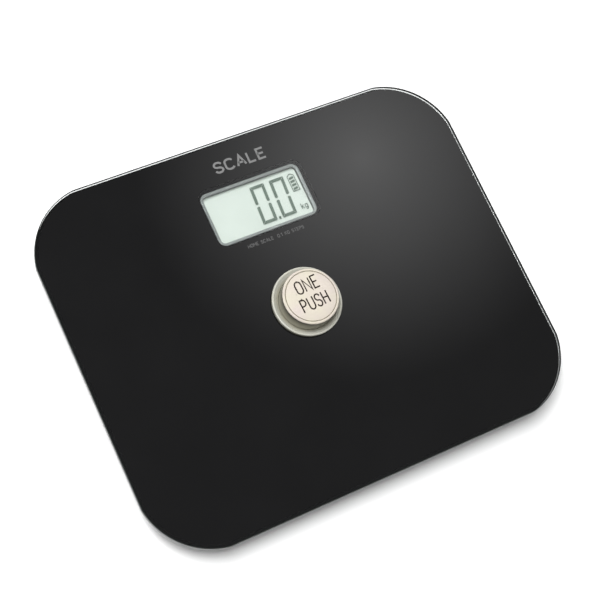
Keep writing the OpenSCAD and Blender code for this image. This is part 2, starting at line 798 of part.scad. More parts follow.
// Housing over one foot: its boss presses on the load cell's tongue
module foot_housing(sx, sy) {
    color([0.88, 0.88, 0.86]) translate([sx * foot_x, sy * foot_y, 0]) difference() {
        union() {
            post(0, 0, housing_r, tray_floor, housing_top);
            at_lugs() {
                post(0, 0, 3.2, lug_z, lug_z + lug_t);
                block([housing_r - lug_at - 2, -3, lug_z], [0, 3, lug_z + lug_t]);
            }
        }
        post(0, 0, cavity_r, tray_floor - 1, cavity_top);
        for (i = [0 : 5]) rotate(60 * i + 30)
            post(11.5, 0, 4, cavity_top + 1.6, housing_top + 1);
        at_lugs() post(0, 0, screw_r + 0.1, lug_z - 1, lug_z + lug_t + 1);
        block([-sx * 25 - 8, -2.2, tray_floor - 1], [-sx * 25 + 8, 2.2, tray_floor + 1.3]);
    }
    color([0.88, 0.88, 0.86]) post(sx * foot_x, sy * foot_y, 3, cell_z + cell_t, cavity_top + 0.2);
}

module housing_screws() {
    color([0.75, 0.75, 0.76]) at_feet() at_lugs() translate([0, 0, lug_z + lug_t]) screw(4.4);
}

// Cup that stands on the rubber pad and hangs in the tray's hole by its flange
module foot_cup(sx, sy) {
    color([0.3, 0.3, 0.31]) translate([sx * foot_x, sy * foot_y, 0]) rotate_extrude()
        polygon([[0, pad_t + 0.8], [pad_r - 2.98, pad_t + 0.8], [pad_r - 2.98, pad_t],
                 [cup_r - 0.6, pad_t],
                 [cup_r, pad_t + 0.6], [cup_r, tray_floor + 0.05], [cup_flange_r, tray_floor + 0.05],
                 [cup_flange_r, tray_floor + 1.2], [cup_r, tray_floor + 1.2], [cup_r, cell_z],
                 [cup_r - cup_wall, cell_z], [cup_r - cup_wall, 4.6], [0, 4.6]]);
}

// Rubber pad with a stepped spigot and grip grooves in its sole
module foot_pad(sx, sy) {
    spigot_r = pad_r - 3;
    color([0.78, 0.78, 0.76]) translate([sx * foot_x, sy * foot_y, 0]) rotate_extrude()
        polygon(concat(
            [[0, 0]],
            [for (r = [5, 8, 11]) each [[r, 0], [r, 0.5], [r + 1, 0.5], [r + 1, 0]]],
            arc(pad_r - 0.7, 0.7, 0.7, -90, 0, 4),
            [[pad_r, pad_t], [spigot_r, pad_t], [spigot_r, pad_t + 0.8], [0, pad_t + 0.8]]));
}

// Half-bridge load cell: a steel frame on the cup, with a tongue under the housing's boss
module load_cell(sx, sy) {
    tongue_w = 9;
    slot_w = 2.5;
    color([0.68, 0.69, 0.71]) translate([sx * foot_x, sy * foot_y, 0]) {
        difference() {
            plate(cell_w, cell_w, 3, cell_z, cell_t);
            for (s = [-1, 1])
                block([s * (tongue_w + slot_w) / 2 - slot_w / 2, -9.5, cell_z - 1],
                      [s * (tongue_w + slot_w) / 2 + slot_w / 2, 6, cell_z + 3]);
            block([-tongue_w / 2 - slot_w, -9.5, cell_z - 1], [tongue_w / 2 + slot_w, -7, cell_z + 3]);
        }
        for (s = [-1, 1])
            block([s * 2.2 - 1.4, 6.2, cell_z + cell_t], [s * 2.2 + 1.4, 10.4, cell_z + cell_t + 0.15]);
    }
}

// Leads of the four load cells, along the tray's floor to the board's sockets
module cell_leads() {
    start = foot_x - 21;
    end_x = board_w / 2 - 2.4;
    color([0.75, 0.15, 0.12]) for (s = [-1, 1]) {
        ribbon([[s * start, foot_y], [s * 76, foot_y], [s * 68, foot_y - 8], [s * 68, socket_y[1] + 8],
                [s * 60, socket_y[1]], [s * end_x, socket_y[1]]], 3, tray_floor, 1);
        ribbon([[s * start, -foot_y], [s * 76, -foot_y], [s * 68, 8 - foot_y], [s * 68, socket_y[0] - 8],
                [s * 60, socket_y[0]], [s * end_x, socket_y[0]]], 3, tray_floor, 1);
    }
}

// Two enamelled leads from the coil, round the generator's base to their socket
module coil_leads() {
    color([0.72, 0.4, 0.2])
        ribbon([[-28.6, -13], [-31, -13], [-33, -11], [-33, 20], [-23, 30], [0, 30], [0, 35]],
               1.2, tray_floor, 0.6);
}

// ---------------------------------------------------------------- assembly

glass_platform();
print_film();
display_bezel();
lcd_panel();
lcd_reflector();
zebra_strips();
main_board();
processor_blob();
converter_chip();
storage_capacitor();
rectifier_diodes();
board_connectors();
board_screws();
button_bezel();
bezel_gasket();
bezel_nut();
base_tray();
tray_tape();
glass_pads();
foot_housing(-1, -1);  // foot_housing_fl
foot_housing(1, -1);  // foot_housing_fr
foot_housing(-1, 1);  // foot_housing_bl
foot_housing(1, 1);  // foot_housing_br
housing_screws();
cell_leads();
generator_base();
spring_seat();
stator_yoke();
coil_bobbin();
coil_winding();
coil_leads();
generator_screws();
rating_label();
switch_body();
button_cap();
button_plunger();
plunger_screws();
return_spring();
drive_gear();
drive_axle();
idler_gear();
idler_axle();
rotor_pinion();
rotor_magnet();
rotor_shaft();
foot_cup(-1, -1);  // foot_cup_fl
foot_cup(1, -1);  // foot_cup_fr
foot_cup(-1, 1);  // foot_cup_bl
foot_cup(1, 1);  // foot_cup_br
foot_pad(-1, -1);  // foot_pad_fl
foot_pad(1, -1);  // foot_pad_fr
foot_pad(-1, 1);  // foot_pad_bl
foot_pad(1, 1);  // foot_pad_br
load_cell(-1, -1);  // load_cell_fl
load_cell(1, -1);  // load_cell_fr
load_cell(-1, 1);  // load_cell_bl
load_cell(1, 1);  // load_cell_br
switch_knob();
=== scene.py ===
import math

import bmesh
import bpy
from mathutils import Matrix, Vector
from mathutils.geometry import tessellate_polygon


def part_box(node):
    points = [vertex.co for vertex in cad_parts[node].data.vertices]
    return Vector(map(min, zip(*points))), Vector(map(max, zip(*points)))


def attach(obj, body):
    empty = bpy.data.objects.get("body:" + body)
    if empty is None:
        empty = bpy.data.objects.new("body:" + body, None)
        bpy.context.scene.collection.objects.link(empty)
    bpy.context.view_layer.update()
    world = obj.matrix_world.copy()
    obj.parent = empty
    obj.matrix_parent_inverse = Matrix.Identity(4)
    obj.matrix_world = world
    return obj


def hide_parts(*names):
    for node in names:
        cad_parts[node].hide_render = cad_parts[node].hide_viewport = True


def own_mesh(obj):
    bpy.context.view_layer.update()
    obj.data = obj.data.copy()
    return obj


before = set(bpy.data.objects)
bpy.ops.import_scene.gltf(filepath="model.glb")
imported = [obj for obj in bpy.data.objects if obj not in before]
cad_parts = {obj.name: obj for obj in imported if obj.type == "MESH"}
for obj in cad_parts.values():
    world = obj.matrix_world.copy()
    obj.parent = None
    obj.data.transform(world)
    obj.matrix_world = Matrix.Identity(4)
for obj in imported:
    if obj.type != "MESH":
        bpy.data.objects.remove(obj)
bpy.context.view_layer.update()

MM = 0.001
SCENE = bpy.context.scene


# ------------------------------------------------------------------ numbers from the frame, in mm


def box_mm(node):
    """Lowest and highest corners of a CAD node, in mm."""
    low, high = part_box(node)
    return [c / MM for c in low], [c / MM for c in high]


GLASS_LOW, GLASS_HIGH = box_mm("glass_platform")
GLASS_TOP, GLASS_BACK = GLASS_HIGH[2], GLASS_LOW[2]
HALF_W, HALF_D = GLASS_HIGH[0], GLASS_HIGH[1]
CAP_TOP = box_mm("button_cap")[1][2]
CAP_LOW = box_mm("button_cap")[0][2]
BEZEL_R = box_mm("button_bezel")[1][0]
BEZEL_LOW, BEZEL_TOP = box_mm("button_bezel")[0][2], box_mm("button_bezel")[1][2]
LCD_LOW, LCD_HIGH = box_mm("lcd_panel")
FRAME_LOW = box_mm("display_bezel")[0]
SPRING_LOW, SPRING_HIGH = box_mm("return_spring")
FILM_BACK = box_mm("print_film")[0][2]

DISPLAY_X = (LCD_LOW[0] + LCD_HIGH[0]) / 2
DISPLAY_Y = (LCD_LOW[1] + LCD_HIGH[1]) / 2

# Radii round the button that the frame's boxes do not tell, in mm.
CAP_R = 19.7
LIP_R = 19.86
LUG_R = 20.9
SLEEVE_BORE = 21.1
SLEEVE_R = 21.7
GLASS_BORE = 22.0
PRINT_BORE = 22.6


# ------------------------------------------------------------------ meshes


TINY = 1e-6
SAME_PLACE = 1e-7
SHARPEST_MITRE = 0.4


def circle(radius, z, steps):
    """A level ring of points round the origin."""
    turns = [2 * math.pi * k / steps for k in range(steps)]
    return [(radius * math.cos(t), radius * math.sin(t), z) for t in turns]


class Shape:
    """Vertices and faces in mm, gathered from lofts, prisms and ribbons."""

    def __init__(self):
        self.verts, self.faces = [], []
        self.marks = {}

    def add(self, points):
        """Adds the points and returns their numbers."""
        start = len(self.verts)
        self.verts += [tuple(p) for p in points]
        return list(range(start, len(self.verts)))

    def loft(self, rings, closed=False):
        """Walls between rings of equally many points. closed joins the last ring to the first."""
        ids = [self.add(r) for r in rings]
        n = len(ids[0])
        pairs = list(zip(ids, ids[1:] + ids[:1])) if closed else list(zip(ids, ids[1:]))
        for a, b in pairs:
            for i in range(n):
                j = (i + 1) % n
                self.faces.append((a[i], a[j], b[j], b[i]))
        return ids

    def lathe(self, profile, steps):
        """A closed profile of (radius, z) turned round the origin. A radius of 0 is a pole."""
        rings = []
        for r, z in profile:
            if r < TINY:
                rings.append(self.add([(0, 0, z)]))
            else:
                rings.append(self.add(circle(r, z, steps)))
        for a, b in zip(rings, rings[1:] + rings[:1]):
            if len(a) == 1 and len(b) == 1:
                continue
            for i in range(steps):
                j = (i + 1) % steps
                if len(a) == 1:
                    self.faces.append((a[0], b[j], b[i]))
                elif len(b) == 1:
                    self.faces.append((a[i], a[j], b[0]))
                else:
                    self.faces.append((a[i], a[j], b[j], b[i]))

    def prism(self, loops, z0, z1):
        """A flat plate: the first loop is its outline, the others its holes."""
        low = [self.add([(x, y, z0) for x, y in loop]) for loop in loops]
        high = [self.add([(x, y, z1) for x, y in loop]) for loop in loops]
        for a, b in zip(low, high):
            n = len(a)
            for i in range(n):
                j = (i + 1) % n
                self.faces.append((a[i], a[j], b[j], b[i]))
        flat_low = [i for loop in low for i in loop]
        flat_high = [i for loop in high for i in loop]
        for t in tessellate_polygon([[Vector((x, y, 0)) for x, y in loop] for loop in loops]):
            self.faces.append(tuple(flat_low[i] for i in t))
            self.faces.append(tuple(flat_high[i] for i in reversed(t)))

    def sheet(self, loops):
        """A level face: the first loop is its outline, the others its holes."""
        ids = [i for loop in loops for i in self.add(loop)]
        for t in tessellate_polygon([[Vector((x, y, 0)) for x, y, z in loop] for loop in loops]):
            self.faces.append(tuple(ids[i] for i in t))

    def ribbon(self, points, width, z0, z1, closed=False):
        """A flat stroke with mitred corners."""
        n = len(points)
        left, right = [], []
        for i, p in enumerate(points):
            p = Vector(p)
            before = Vector(points[i - 1]) if closed or i > 0 else None
            after = Vector(points[(i + 1) % n]) if closed or i < n - 1 else None
            d_in = (p - before).normalized() if before is not None else (after - p).normalized()
            d_out = (after - p).normalized() if after is not None else d_in
            n_in, n_out = Vector((-d_in.y, d_in.x)), Vector((-d_out.y, d_out.x))
            side = (n_in + n_out).normalized()
            reach = width / 2 / max(SHARPEST_MITRE, side.dot(n_in))
            left.append(p + side * reach)
            right.append(p - side * reach)
        ll = self.add([(p.x, p.y, z0) for p in left])
        rl = self.add([(p.x, p.y, z0) for p in right])
        lh = self.add([(p.x, p.y, z1) for p in left])
        rh = self.add([(p.x, p.y, z1) for p in right])
        for i in range(n if closed else n - 1):
            j = (i + 1) % n
            self.faces += [(lh[i], rh[i], rh[j], lh[j]), (ll[j], rl[j], rl[i], ll[i]),
                           (ll[i], lh[i], lh[j], ll[j]), (rl[j], rh[j], rh[i], rl[i])]
        if not closed:
            self.faces += [(ll[0], rl[0], rh[0], lh[0]), (rl[-1], ll[-1], lh[-1], rh[-1])]

    def mark(self, slot, first, last):
        """Gives the faces from first up to last another of the piece's materials."""
        self.marks.update((face, slot) for face in range(first, last))

    def build(self, name, material, body, sharp=35.0, others=()):
        """Makes the piece, which rides on body. Edges steeper than sharp degrees stay crisp."""
        mesh = bpy.data.meshes.new(name)
        mesh.from_pydata([(x * MM, y * MM, z * MM) for x, y, z in self.verts], [], self.faces)
        for face, slot in self.marks.items():
            mesh.polygons[face].material_index = slot
        bm = bmesh.new()
        bm.from_mesh(mesh)
        bmesh.ops.remove_doubles(bm, verts=bm.verts, dist=SAME_PLACE)
        bmesh.ops.recalc_face_normals(bm, faces=bm.faces)
        bm.to_mesh(mesh)
        bm.free()
        mesh.shade_smooth()
        mesh.set_sharp_from_angle(angle=math.radians(sharp))
        for each in (material, *others):
            mesh.materials.append(each)
        obj = bpy.data.objects.new(name, mesh)
        SCENE.collection.objects.link(obj)
        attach(obj, body)
        return obj


def arc(cx, cy, rx, ry, start, end, steps=8):
    """Points along part of an ellipse, with start and end in degrees."""
    turns = [math.radians(start + (end - start) * k / steps) for k in range(steps + 1)]
    return [(cx + rx * math.cos(t), cy + ry * math.sin(t)) for t in turns]


def round_rect(cx, cy, w, d, r, steps=12):
    """Outline of a rectangle with round corners, anticlockwise."""
    points = []
    for sx, sy, start in ((1, 1, 0), (-1, 1, 90), (-1, -1, 180), (1, -1, 270)):
        points += arc(cx + sx * (w / 2 - r), cy + sy * (d / 2 - r), r, r, start, start + 90, steps)
    return points


CORNER_LEAD = 0.6
CORNER_R = 52.0
CORNER_STEPS = 40


def glass_outline(inset):
    """Outline of the glass, moved in: wide round corners that run out into the straight sides."""
    limit_x, limit_y = HALF_W - inset, HALF_D - inset
    wide = round_rect(0, 0, 2 * (limit_x + CORNER_LEAD), 2 * (limit_y + CORNER_LEAD),
                      CORNER_R - inset, CORNER_STEPS)
    return [(max(-limit_x, min(limit_x, x)), max(-limit_y, min(limit_y, y))) for x, y in wide]


# ------------------------------------------------------------------ materials


def srgb(r, g, b):
    """A colour of 0 to 255 as the eye reads it, in linear light."""
    def one(v):
        v /= 255.0
        return v / 12.92 if v <= 0.04045 else ((v + 0.055) / 1.055) ** 2.4
    return (one(r), one(g), one(b), 1.0)


class Finish:
    """A Principled material with procedural colour, roughness and bump, in the object's own coordinates."""

    def __init__(self, name, roughness, metallic=0.0, **sockets):
        self.mat = bpy.data.materials.new(name)
        self.mat.use_nodes = True
        self.tree = self.mat.node_tree
        self.bsdf = self.tree.nodes["Principled BSDF"]
        self.output = self.tree.nodes["Material Output"]
        self.bsdf.inputs["Roughness"].default_value = roughness
        self.bsdf.inputs["Metallic"].default_value = metallic
        for socket, value in sockets.items():
            self.bsdf.inputs[socket.replace("_", " ")].default_value = value
        self.coords = self.node("ShaderNodeTexCoord").outputs["Object"]
        self.height = None

    def node(self, kind, **values):
        n = self.tree.nodes.new(kind)
        for key, value in values.items():
            setattr(n, key, value)
        return n

    def link(self, a, b):
        self.tree.links.new(a, b)

    def stretched(self, scale):
        """The object's coordinates, scaled apart along each axis."""
        m = self.node("ShaderNodeMapping")
        m.inputs["Scale"].default_value = scale
        self.link(self.coords, m.inputs["Vector"])
        return m.outputs["Vector"]

    def noise(self, per_metre, detail=3.0, vector=None):
        n = self.node("ShaderNodeTexNoise")
        n.inputs["Scale"].default_value = per_metre
        n.inputs["Detail"].default_value = detail
        self.link(vector or self.coords, n.inputs["Vector"])
        return n.outputs["Fac"]

    def spread(self, value, low, high, from_low=0.3, from_high=0.7):
        """Maps from_low to low and from_high to high, and holds the ends."""
        m = self.node("ShaderNodeMapRange")
        m.inputs["From Min"].default_value = from_low
        m.inputs["From Max"].default_value = from_high
        m.inputs["To Min"].default_value = low
        m.inputs["To Max"].default_value = high
        self.link(value, m.inputs["Value"])
        return m.outputs["Result"]

    def climb(self, z_low, z_high):
        """0 at one height and 1 at the other, in mm."""
        split = self.node("ShaderNodeSeparateXYZ")
        self.link(self.coords, split.inputs[0])
        return self.spread(split.outputs["Z"], 0.0, 1.0, z_low * MM, z_high * MM)

    def ramp(self, value, *stops):
        r = self.node("ShaderNodeValToRGB")
        elements = r.color_ramp.elements
        while len(elements) < len(stops):
            elements.new(0.5)
        for element, (position, colour) in zip(elements, stops):
            element.position = position
            element.color = colour
        self.link(value, r.inputs["Fac"])
        return r.outputs["Color"]

    def colour(self, output):
        self.link(output, self.bsdf.inputs["Base Color"])
        return self

    def rough(self, value, low, high):
        self.link(self.spread(value, low, high), self.bsdf.inputs["Roughness"])
        return self

    def bump(self, value, distance_mm):
        b = self.node("ShaderNodeBump")
        b.inputs["Distance"].default_value = distance_mm * MM
        b.inputs["Strength"].default_value = 1.0
        self.link(value, b.inputs["Height"])
        if self.height is not None:
            self.link(self.height, b.inputs["Normal"])
        self.height = b.outputs["Normal"]
        self.link(self.height, self.bsdf.inputs["Normal"])
        return self


def shade(colour, factor):
    """The colour, darker or lighter by a factor."""
    return tuple(min(1.0, c * factor) for c in colour[:3]) + (1.0,)


def moulded(name, colour, roughness, grain=0.02, variation=0.06, **sockets):
    """Moulded plastic or rubber: faint clouding, a fine eroded grain."""
    f = Finish(name, roughness, **sockets)
    clouds = f.noise(45, 3)
    fine = f.noise(2600, 2)
    f.colour(f.ramp(clouds, (0.3, shade(colour, 1 - variation)), (0.7, shade(colour, 1 + variation))))
    f.rough(fine, roughness - 0.06, roughness + 0.06)
    f.bump(fine, grain)
    return f.mat


def brushed(name, colour, roughness, along=(1, 40, 40), metallic=1.0):
    """Metal, or metallic paint, with fine drawn lines along one axis."""
    f = Finish(name, roughness, metallic)
    lines = f.noise(260, 3, f.stretched(along))
    clouds = f.noise(70, 3)
    f.colour(f.ramp(clouds, (0.3, shade(colour, 0.9)), (0.7, shade(colour, 1.05))))
    f.rough(lines, roughness - 0.08, roughness + 0.1)
    f.bump(lines, 0.006)
    return f.mat


def turned(name, colour, roughness, metallic=1.0):
    """Metal with fine circular lines round the object's upright axis."""
    f = Finish(name, roughness, metallic)
    plan = f.node("ShaderNodeVectorMath", operation="MULTIPLY")
    plan.inputs[1].default_value = (1, 1, 0)
    f.link(f.coords, plan.inputs[0])
    radius = f.node("ShaderNodeVectorMath", operation="LENGTH")
    f.link(plan.outputs["Vector"], radius.inputs[0])
    gather = f.node("ShaderNodeCombineXYZ")
    f.link(radius.outputs["Value"], gather.inputs["X"])
    lines = f.noise(3200, 2, gather.outputs[0])
    clouds = f.noise(60, 3)
    f.colour(f.ramp(clouds, (0.3, shade(colour, 0.94)), (0.7, shade(colour, 1.04))))
    f.rough(lines, roughness - 0.05, roughness + 0.07)
    f.bump(lines, 0.004)
    return f.mat


def lets_light_through(f, tint):
    """Light on its way to what lies behind passes straight through the surface."""
    clear = f.node("ShaderNodeBsdfTransparent")
    clear.inputs["Color"].default_value = tint
    path = f.node("ShaderNodeLightPath")
    either = f.node("ShaderNodeMath", operation="MAXIMUM")
    f.link(path.outputs["Is Shadow Ray"], either.inputs[0])
    f.link(path.outputs["Is Diffuse Ray"], either.inputs[1])
    mix = f.node("ShaderNodeMixShader")
    f.link(either.outputs[0], mix.inputs["Fac"])
    f.link(f.bsdf.outputs[0], mix.inputs[1])
    f.link(clear.outputs[0], mix.inputs[2])
    f.link(mix.outputs[0], f.output.inputs["Surface"])
    return f.mat


GLASS_TINT = (0.95, 0.975, 0.965, 1)


def clear_glass():
    """Low-iron float glass, faintly green."""
    f = Finish("clear_glass", 0.0, Transmission_Weight=1.0, IOR=1.5)
    haze = f.noise(30, 3)
    f.colour(f.ramp(haze, (0.3, (0.955, 0.985, 0.972, 1)), (0.7, (0.965, 0.99, 0.98, 1))))
    f.rough(haze, 0.0, 0.012)
    return lets_light_through(f, GLASS_TINT)


def black_glass():
    """The same glass where black ink backs it: all that shows is its polish over black."""
    f = Finish("black_glass", 0.03, IOR=1.5)
    clouds = f.noise(25, 4)
    f.colour(f.ramp(clouds, (0.3, srgb(9, 9, 10)), (0.7, srgb(12, 12, 13))))
    f.rough(clouds, 0.025, 0.04)
    return lets_light_through(f, GLASS_TINT)


def ground_edge():
    """Finely ground and polished edge: deep green-black, with a soft sheen."""
    f = Finish("ground_edge", 0.22, IOR=1.5)
    clouds = f.noise(60, 3)
    f.colour(f.ramp(clouds, (0.3, srgb(20, 25, 23)), (0.7, srgb(26, 31, 29))))
    f.rough(f.noise(1500, 2), 0.18, 0.28)
    f.bump(f.noise(1500, 2), 0.002)
    return f.mat


def printed_black():
    """Dense black ink on the back of the glass."""
    f = Finish("black_print", 0.6, Specular_IOR_Level=0.0)
    clouds = f.noise(25, 4)
    f.colour(f.ramp(clouds, (0.3, srgb(11, 11, 12)), (0.7, srgb(14, 14, 15))))
    f.rough(clouds, 0.55, 0.65)
    return f.mat


def ink(name, colour):
    """Matt printing ink, very slightly uneven."""
    f = Finish(name, 0.55, Specular_IOR_Level=0.2)
    clouds = f.noise(900, 3)
    f.colour(f.ramp(clouds, (0.3, shade(colour, 0.95)), (0.7, shade(colour, 1.05))))
    f.rough(clouds, 0.5, 0.6)
    return f.mat


def pearl(name, warm, cool, roughness, painted_shade_heights=None):
    """Champagne pearl lacquer: slow drift between two tints, fine metallic flake under a clear coat.

    The optional last pair of heights is where painted shade lifts: deep below the first, full brightness
    above the second."""
    f = Finish(name, roughness, 0.12, Coat_Weight=0.25, Coat_Roughness=0.25, Coat_IOR=1.5)
    drift = f.noise(70, 2)
    flake = f.node("ShaderNodeTexVoronoi")
    flake.inputs["Scale"].default_value = 5200
    f.link(f.coords, flake.inputs["Vector"])
    tint = f.ramp(drift, (0.35, warm), (0.65, cool))
    sparkle = f.ramp(flake.outputs["Distance"], (0.0, (1, 1, 1, 1)), (0.55, (0.93, 0.93, 0.93, 1)))
    mix = f.node("ShaderNodeMix", data_type="RGBA", blend_type="MULTIPLY")
    mix.inputs["Factor"].default_value = 1.0
    f.link(tint, mix.inputs["A"])
    f.link(sparkle, mix.inputs["B"])
    f.colour(mix.outputs["Result"])
    # Painted shade: darkens the lacquer below the given heights.
    if painted_shade_heights:
        deep = (0.44, 0.42, 0.36, 1)
        painted_shade_mix = f.node("ShaderNodeMix", data_type="RGBA", blend_type="MULTIPLY")
        painted_shade_mix.inputs["Factor"].default_value = 1.0
        f.link(mix.outputs["Result"], painted_shade_mix.inputs["A"])
        f.link(f.ramp(f.climb(*painted_shade_heights), (0.0, deep), (1.0, (1, 1, 1, 1))), painted_shade_mix.inputs["B"])
        f.colour(painted_shade_mix.outputs["Result"])
    f.rough(drift, roughness - 0.05, roughness + 0.05)
    f.bump(flake.outputs["Distance"], 0.003)
    return f.mat


def plated_with_painted_shade(name, low, middle, high, z_low, z_high):
    """Champagne plating on an upright wall, with painted shade that darkens it toward its upper edge."""
    f = Finish(name, 0.3, 0.5, Coat_Weight=0.2, Coat_Roughness=0.2, Coat_IOR=1.5)
    drift = f.noise(70, 2)
    # Painted shade: the ramp runs from pale at z_low to darkest at z_high.
    f.colour(f.ramp(f.climb(z_low, z_high), (0.0, low), (0.5, middle), (1.0, high)))
    f.rough(drift, 0.26, 0.36)
    f.bump(f.noise(2600, 2), 0.003)
    return f.mat


def circuit():
    """Green solder mask over copper tracks, with fine glass weave showing."""
    f = Finish("solder_mask", 0.35, Coat_Weight=0.3, Coat_Roughness=0.2)
    tracks = f.node("ShaderNodeTexBrick")
    tracks.inputs["Scale"].default_value = 260
    tracks.inputs["Mortar Size"].default_value = 0.06
    tracks.inputs["Color1"].default_value = srgb(24, 92, 52)
    tracks.inputs["Color2"].default_value = srgb(20, 84, 48)
    tracks.inputs["Mortar"].default_value = srgb(44, 118, 62)
    f.link(f.coords, tracks.inputs["Vector"])
    f.colour(tracks.outputs["Color"])
    f.rough(f.noise(900, 3), 0.3, 0.42)
    f.bump(tracks.outputs["Fac"], 0.02)
    return f.mat


def winding(name, colour):
    """Lacquered wire wound side by side across the axis."""
    f = Finish(name, 0.3, 0.85, Coat_Weight=0.4)
    wave = f.node("ShaderNodeTexWave", wave_type="BANDS", bands_direction="Y")
    wave.inputs["Scale"].default_value = 1500
    wave.inputs["Distortion"].default_value = 0.6
    f.link(f.coords, wave.inputs["Vector"])
    f.colour(f.ramp(wave.outputs["Fac"], (0.2, shade(colour, 0.6)), (0.8, shade(colour, 1.1))))
    f.rough(wave.outputs["Fac"], 0.25, 0.4)
    f.bump(wave.outputs["Fac"], 0.05)
    return f.mat


def foam():
    """Closed-cell foam: pale, with open pores."""
    f = Finish("foam", 0.9)
    pores = f.node("ShaderNodeTexVoronoi")
    pores.inputs["Scale"].default_value = 2200
    f.link(f.coords, pores.inputs["Vector"])
    f.colour(f.ramp(pores.outputs["Distance"], (0.0, srgb(170, 170, 166)), (0.5, srgb(214, 214, 210))))
    f.rough(f.noise(300), 0.85, 0.95)
    f.bump(pores.outputs["Distance"], 0.12)
    return f.mat


GLASS = clear_glass()
BLACK_GLASS = black_glass()
GROUND_EDGE = ground_edge()
PRINT = printed_black()
WORDING = ink("grey_print", srgb(119, 119, 119))
FAINT = ink("faint_print", srgb(92, 92, 92))
# Painted shade on the cap's side wall: pale at its foot, near black just under the cap's top.
PAINTED_SHADE_WALL = plated_with_painted_shade("plated_wall_painted_shade", srgb(188, 185, 172), srgb(146, 142, 126), srgb(46, 41, 29),
              GLASS_TOP + 3, CAP_TOP - 1)
LEGEND = ink("legend_ink", srgb(40, 32, 28))
# The trim's dish carries painted shade: deep near the cap below GLASS_TOP + 1.1 mm, full brightness above
# GLASS_TOP + 2.1 mm.
TRIM = pearl("pearl_trim", srgb(202, 201, 188), srgb(198, 198, 189), 0.3, (GLASS_TOP + 1.1, GLASS_TOP + 2.1))
# Painted shade: the cap's ring groove is given a darker pearl than the cap.
GROOVE_PAINTED_SHADE = pearl("pearl_groove_painted_shade", srgb(150, 143, 124), srgb(146, 138, 124), 0.5)
CAP = pearl("pearl_cap", srgb(216, 209, 192), srgb(214, 203, 195), 0.4)
SILVER = brushed("silver_frame", srgb(132, 134, 134), 0.45, metallic=0.15)
# Painted shade: the display frame's inner wall, down to the panel, is dark grey.
FRAME_WALL_PAINTED_SHADE = moulded("frame_wall_painted_shade", srgb(84, 87, 86), 0.6, 0.008)
SEGMENT = ink("segment_dark", srgb(94, 106, 97))
SPRING = brushed("spring_wire", srgb(180, 182, 186), 0.3)


def lcd_face():
    """Pale grey-green polariser over a satin reflector."""
    f = Finish("lcd_face", 0.42, Specular_IOR_Level=0.3)
    clouds = f.noise(40, 3)
    fine = f.noise(5000, 2)
    f.colour(f.ramp(clouds, (0.3, srgb(199, 203, 198)), (0.7, srgb(203, 207, 202))))
    f.rough(clouds, 0.38, 0.46)
    f.bump(fine, 0.003)
    return f.mat


LCD_FACE = lcd_face()


# ------------------------------------------------------------------ lettering and display strokes


def glyphs():
    """Strokes of a plain round-cornered alphabet: cap height 1, {letter: (width, strokes)}."""
    g = {}
    g["A"] = (0.56, [[(0, 0), (0.28, 1), (0.56, 0)], [(0.09, 0.3), (0.47, 0.3)]])
    g["C"] = (0.52, [arc(0.27, 0.73, 0.27, 0.27, 20, 180) + arc(0.27, 0.27, 0.27, 0.27, 180, 340)])
    g["E"] = (0.46, [[(0.46, 1), (0, 1), (0, 0), (0.46, 0)], [(0, 0.51), (0.4, 0.51)]])
    g["G"] = (0.54, [arc(0.27, 0.73, 0.27, 0.27, 20, 180) + arc(0.27, 0.27, 0.27, 0.27, 180, 360)
                     + [(0.54, 0.47), (0.3, 0.47)]])
    g["H"] = (0.52, [[(0, 0), (0, 1)], [(0.52, 0), (0.52, 1)], [(0, 0.51), (0.52, 0.51)]])
    g["K"] = (0.52, [[(0, 0), (0, 1)], [(0.5, 1), (0, 0.4)], [(0.17, 0.6), (0.52, 0)]])
    g["L"] = (0.44, [[(0, 1), (0, 0), (0.44, 0)]])
    g["M"] = (0.66, [[(0, 0), (0, 1), (0.33, 0.4), (0.66, 1), (0.66, 0)]])
    g["N"] = (0.54, [[(0, 0), (0, 1), (0.54, 0), (0.54, 1)]])
    g["O"] = (0.54, [arc(0.27, 0.73, 0.27, 0.27, 0, 180) + arc(0.27, 0.27, 0.27, 0.27, 180, 360)])
    g["P"] = (0.5, [[(0, 0), (0, 1), (0.24, 1)] + arc(0.24, 0.74, 0.26, 0.26, 90, -90) + [(0, 0.48)]])
    g["S"] = (0.5, [arc(0.25, 0.75, 0.25, 0.25, 10, 270, 12) + arc(0.25, 0.25, 0.25, 0.25, 90, -170, 12)[1:]])
    g["T"] = (0.48, [[(0, 1), (0.48, 1)], [(0.24, 1), (0.24, 0)]])
    g["U"] = (0.54, [[(0, 1)] + arc(0.27, 0.27, 0.27, 0.27, 180, 360) + [(0.54, 1)]])
    g["0"] = (0.5, [arc(0.25, 0.75, 0.25, 0.25, 0, 180) + arc(0.25, 0.25, 0.25, 0.25, 180, 360)])
    g["1"] = (0.26, [[(0, 0.78), (0.22, 1), (0.22, 0)]])
    g["."] = (0.06, [[(0, 0), (0, 0.1)]])
    g["k"] = (0.44, [[(0, 0), (0, 1)], [(0.42, 0.68), (0, 0.26)], [(0.14, 0.42), (0.44, 0)]])
    g["g"] = (0.46, [arc(0.23, 0.34, 0.23, 0.32, 0, 360, 16),
                     [(0.46, 0.68), (0.46, -0.05)] + arc(0.24, -0.05, 0.22, 0.22, 0, -150)[1:]])
    g[" "] = (0.3, [])
    return g


GLYPHS = glyphs()
ROUND_LETTERS = {"O", "0"}
LETTER_GAP = 0.24
WIDEST = 1.25


